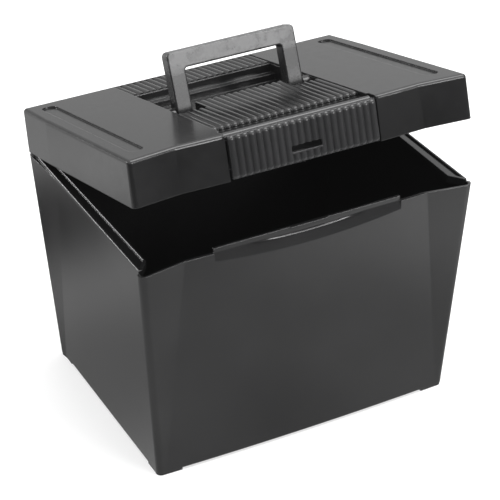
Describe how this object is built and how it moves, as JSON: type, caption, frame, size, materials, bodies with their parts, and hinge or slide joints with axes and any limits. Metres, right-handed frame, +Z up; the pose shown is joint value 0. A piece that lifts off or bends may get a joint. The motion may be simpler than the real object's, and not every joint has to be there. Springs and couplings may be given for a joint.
{
  "type": "portable file box",
  "caption": "Portable hanging-file box: tapered tub, hinged lid with a folding carry handle in a recess, and a swinging front latch flap.",
  "frame": {"origin": "middle of the box's width and of its whole depth, hinge knuckles included, on the plane its four feet stand on", "axes": "+X to the right along the front, +Y from the latch side to the hinge side, +Z up; at rest the lid stands ajar and the handle is up"},
  "size_m": [0.356, 0.2734, 0.3662],
  "materials": {
    "tub_plastic": "glossy moulded",
    "lid_plastic": "glossy moulded",
    "handle_plastic": "satin moulded",
    "flap_plastic": "glossy moulded",
    "pin_steel": "drawn wire"
  },
  "bodies": {
    "tub": {"tub": "tub_plastic", "hinge_pin_left": "pin_steel", "hinge_pin_right": "pin_steel"},
    "lid": {"lid": "lid_plastic", "handle_pin_left": "pin_steel", "handle_pin_right": "pin_steel", "latch_pin_left": "pin_steel", "latch_pin_right": "pin_steel"},
    "handle": {"carry_handle": "handle_plastic"},
    "latch": {"latch_flap": "flap_plastic"}
  },
  "joints": [
    {"name": "lid_hinge", "type": "hinge", "parent": "tub", "child": "lid", "pos_m": [0, 0.13171, 0.2435], "axis": [-1, 0, 0], "range_deg": [-14.7, 85.3]},
    {"name": "handle_fold", "type": "hinge", "parent": "lid", "child": "handle", "pos_m": [0, 0.01031, 0.30843], "axis": [-1, 0, 0], "range_deg": [-50, 82.4]},
    {"name": "latch_swing", "type": "hinge", "parent": "lid", "child": "latch", "pos_m": [0, -0.10418, 0.34136], "axis": [-1, 0, 0], "range_deg": [-2.5, 70]}
  ]
}
